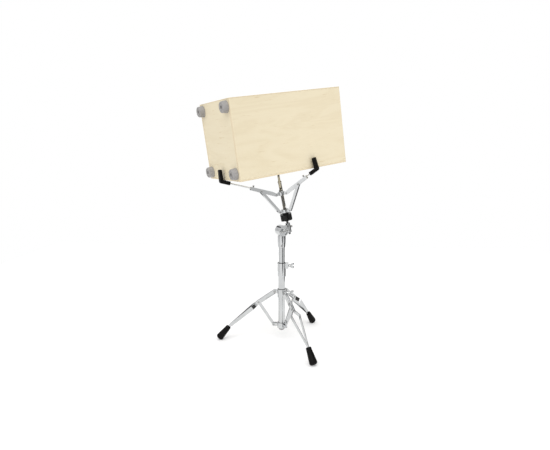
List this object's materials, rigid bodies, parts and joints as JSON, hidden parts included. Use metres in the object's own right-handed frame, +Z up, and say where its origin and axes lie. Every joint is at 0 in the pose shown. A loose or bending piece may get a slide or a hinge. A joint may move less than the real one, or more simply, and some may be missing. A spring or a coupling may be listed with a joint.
{
  "type": "drum on folding basket stand",
  "caption": "Wooden box drum on its long side, held by a tilting basket of padded arms on a telescoping tube and a folding braced tripod.",
  "frame": {"origin": "on the floor under the middle of the object, at the centre of its bounding box; the column stands 38.9 mm along X and 12.1 mm along Y from it", "axes": "+Z up along the column; one leg points to -X, the box drum runs 33.2 degrees round from +X towards +Y"},
  "size_m": [0.6029, 0.5286, 1.0729],
  "materials": {
    "bare_ply": "pale birch ply, satin lacquer",
    "skin_ply": "thin pale ply",
    "grey_rubber": "matt grey rubber",
    "black_rubber": "matt black rubber",
    "black_plastic": "black moulded plastic",
    "chrome": "polished chrome plate",
    "screw_steel": "plain steel",
    "nylon": "black nylon"
  },
  "bodies": {
    "column": {"base_tube": "chrome", "tube_plug": "black_rubber", "strut_collar": "chrome", "strut_collar_pins": "screw_steel", "tube_clamp": "chrome", "clamp_bushing": "nylon"},
    "collar": {"leg_collar": "chrome"},
    "collar_bolt": {"leg_collar_wing_bolt": "chrome"},
    "clamp_bolt": {"clamp_wing_bolt": "chrome"},
    "upper_column": {"height_tube": "chrome", "tilter_base": "chrome", "tilter_base_screw": "screw_steel"},
    "tilter": {"tilter_head": "chrome", "tilter_bolt": "screw_steel", "rod_screw": "screw_steel"},
    "tilter_nut": {"tilter_wing_nut": "chrome"},
    "basket": {"basket_rod": "chrome", "upper_hub": "chrome", "upper_hub_pins": "screw_steel", "rod_cap_nut": "chrome"},
    "sliding_hub": {"lower_hub": "chrome", "lower_hub_pins": "screw_steel"},
    "adjuster": {"adjuster_nut": "black_plastic"},
    "box": {"striking_panel": "skin_ply", "port_panel": "bare_ply", "front_side_panel": "bare_ply", "rear_side_panel": "bare_ply", "left_end_panel": "bare_ply", "right_end_panel": "bare_ply", "snare_wires": "screw_steel", "box_feet": "grey_rubber", "box_screws": "screw_steel"},
    "left_leg": {"left_leg_strips": "chrome", "left_leg_rivets": "screw_steel", "left_boot": "black_rubber"},
    "left_strut": {"left_leg_strut": "chrome"},
    "front_leg": {"front_leg_strips": "chrome", "front_leg_rivets": "screw_steel", "front_boot": "black_rubber"},
    "front_strut": {"front_leg_strut": "chrome"},
    "rear_leg": {"rear_leg_strips": "chrome", "rear_leg_rivets": "screw_steel", "rear_boot": "black_rubber"},
    "rear_strut": {"rear_leg_strut": "chrome"},
    "left_basket_arm": {"left_arm": "chrome", "left_arm_fasteners": "screw_steel"},
    "left_basket_strut": {"left_arm_strut": "chrome"},
    "left_extension": {"left_arm_rod": "chrome", "left_tip": "black_rubber"},
    "front_basket_arm": {"front_arm": "chrome", "front_arm_fasteners": "screw_steel"},
    "front_basket_strut": {"front_arm_strut": "chrome"},
    "front_extension": {"front_arm_rod": "chrome", "front_tip": "black_rubber"},
    "rear_basket_arm": {"rear_arm": "chrome", "rear_arm_fasteners": "screw_steel"},
    "rear_basket_strut": {"rear_arm_strut": "chrome"},
    "rear_extension": {"rear_arm_rod": "chrome", "rear_tip": "black_rubber"}
  },
  "joints": [
    {"name": "leg_collar_slide", "type": "slide", "parent": "column", "child": "collar", "axis": [0, 0, 1], "range_m": [0, 0.0548]},
    {"name": "left_leg_fold", "type": "hinge", "parent": "collar", "child": "left_leg", "pos_m": [0.0093, 0.0121, 0.2236], "axis": [0, -1, 0], "range_deg": [0, 45]},
    {"name": "left_strut_fold", "type": "hinge", "parent": "left_leg", "child": "left_strut", "pos_m": [-0.0607, 0.0121, 0.1744], "axis": [0, -1, 0], "range_deg": [-74.1, 0]},
    {"name": "front_leg_fold", "type": "hinge", "parent": "collar", "child": "front_leg", "pos_m": [0.0537, -0.01353, 0.2236], "axis": [0.866, 0.5, 0], "range_deg": [0, 45]},
    {"name": "front_strut_fold", "type": "hinge", "parent": "front_leg", "child": "front_strut", "pos_m": [0.0887, -0.07416, 0.1744], "axis": [0.866, 0.5, 0], "range_deg": [-74.1, 0]},
    {"name": "rear_leg_fold", "type": "hinge", "parent": "collar", "child": "rear_leg", "pos_m": [0.0537, 0.03773, 0.2236], "axis": [-0.866, 0.5, 0], "range_deg": [0, 45]},
    {"name": "rear_strut_fold", "type": "hinge", "parent": "rear_leg", "child": "rear_strut", "pos_m": [0.0887, 0.09836, 0.1744], "axis": [-0.866, 0.5, 0], "range_deg": [-74.1, 0]},
    {"name": "leg_collar_bolt_turn", "type": "hinge", "parent": "collar", "child": "collar_bolt", "pos_m": [0.0389, 0.0121, 0.216], "axis": [1, 0, 0], "continuous": true},
    {"name": "clamp_bolt_turn", "type": "hinge", "parent": "column", "child": "clamp_bolt", "pos_m": [0.0389, 0.0121, 0.338], "axis": [1, 0, 0], "continuous": true},
    {"name": "height_slide", "type": "slide", "parent": "column", "child": "upper_column", "axis": [0, 0, 1], "range_m": [-0.064, 0.14]},
    {"name": "tilt", "type": "hinge", "parent": "upper_column", "child": "tilter", "pos_m": [0.0389, 0.0121, 0.489], "axis": [-0.5476, 0.8368, 0], "range_deg": [-30, 30]},
    {"name": "tilter_nut_turn", "type": "hinge", "parent": "tilter", "child": "tilter_nut", "pos_m": [0.0389, 0.0121, 0.489], "axis": [-0.5476, 0.8368, 0], "continuous": true},
    {"name": "basket_swivel", "type": "hinge", "parent": "tilter", "child": "basket", "pos_m": [0.06569, 0.04039, 0.49817], "axis": [-0.1968, -0.1288, 0.972], "continuous": true},
    {"name": "adjuster_turn", "type": "hinge", "parent": "sliding_hub", "child": "adjuster", "pos_m": [0.05585, 0.03395, 0.54677], "axis": [-0.1968, -0.1288, 0.972], "range_deg": [0, 1081]},
    {"name": "lower_hub_slide", "type": "slide", "parent": "basket", "child": "sliding_hub", "axis": [0.1968, 0.1288, -0.972], "range_m": [0, 0.0091]},
    {"name": "left_arm_open", "type": "hinge", "parent": "basket", "child": "left_basket_arm", "pos_m": [0.01483, 0.00711, 0.63882], "axis": [0.5476, -0.8368, 0], "range_deg": [0, 10.44]},
    {"name": "left_arm_strut_turn", "type": "hinge", "parent": "left_basket_arm", "child": "left_basket_strut", "pos_m": [-0.04299, -0.03073, 0.65529], "axis": [0.5476, -0.8368, 0], "range_deg": [-7.92, 0]},
    {"name": "left_tip_draw", "type": "slide", "parent": "left_basket_arm", "child": "left_extension", "axis": [-0.814, -0.5327, 0.2317], "range_m": [0, 0.01]},
    {"name": "front_arm_open", "type": "hinge", "parent": "basket", "child": "front_basket_arm", "pos_m": [0.05888, 0.00902, 0.64799], "axis": [0.4306, 0.8793, 0.2036], "range_deg": [0, 10.44]},
    {"name": "front_arm_strut_turn", "type": "hinge", "parent": "front_basket_arm", "child": "front_basket_strut", "pos_m": [0.10829, -0.02416, 0.68678], "axis": [0.4306, 0.8793, 0.2036], "range_deg": [-7.92, 0]},
    {"name": "front_tip_draw", "type": "slide", "parent": "front_basket_arm", "child": "front_extension", "axis": [0.6955, -0.467, 0.546], "range_m": [0, 0.06]},
    {"name": "rear_arm_open", "type": "hinge", "parent": "basket", "child": "rear_basket_arm", "pos_m": [0.03422, 0.04671, 0.64799], "axis": [-0.9781, -0.0425, -0.2036], "range_deg": [0, 10.44]},
    {"name": "rear_arm_strut_turn", "type": "hinge", "parent": "rear_basket_arm", "child": "rear_basket_strut", "pos_m": [0.0236, 0.10527, 0.68678], "axis": [-0.9781, -0.0425, -0.2036], "range_deg": [-7.92, 0]},
    {"name": "rear_tip_draw", "type": "slide", "parent": "rear_basket_arm", "child": "rear_extension", "axis": [-0.1495, 0.8243, 0.546], "range_m": [0, 0.06]},
    {"name": "box_lift", "type": "slide", "parent": "basket", "child": "box", "axis": [-0.1206, -0.0789, 0.9896], "range_m": [0, 0.12]}
  ],
  "couplings": [
    {"joint": "front_leg_fold", "follows": "left_leg_fold", "ratio": 1},
    {"joint": "rear_leg_fold", "follows": "left_leg_fold", "ratio": 1},
    {"joint": "left_strut_fold", "follows": "left_leg_fold", "ratio": -1.6421},
    {"joint": "front_strut_fold", "follows": "left_leg_fold", "ratio": -1.6421},
    {"joint": "rear_strut_fold", "follows": "left_leg_fold", "ratio": -1.6421},
    {"joint": "leg_collar_slide", "follows": "left_leg_fold", "m_per_rad": 0.069379},
    {"joint": "lower_hub_slide", "follows": "adjuster_turn", "m_per_rad": 0.00047746},
    {"joint": "left_arm_open", "follows": "adjuster_turn", "ratio": 0.0096209},
    {"joint": "left_arm_strut_turn", "follows": "adjuster_turn", "ratio": -0.0072425},
    {"joint": "front_arm_open", "follows": "adjuster_turn", "ratio": 0.0096209},
    {"joint": "front_arm_strut_turn", "follows": "adjuster_turn", "ratio": -0.0072425},
    {"joint": "rear_arm_open", "follows": "adjuster_turn", "ratio": 0.0096209},
    {"joint": "rear_arm_strut_turn", "follows": "adjuster_turn", "ratio": -0.0072425}
  ]
}
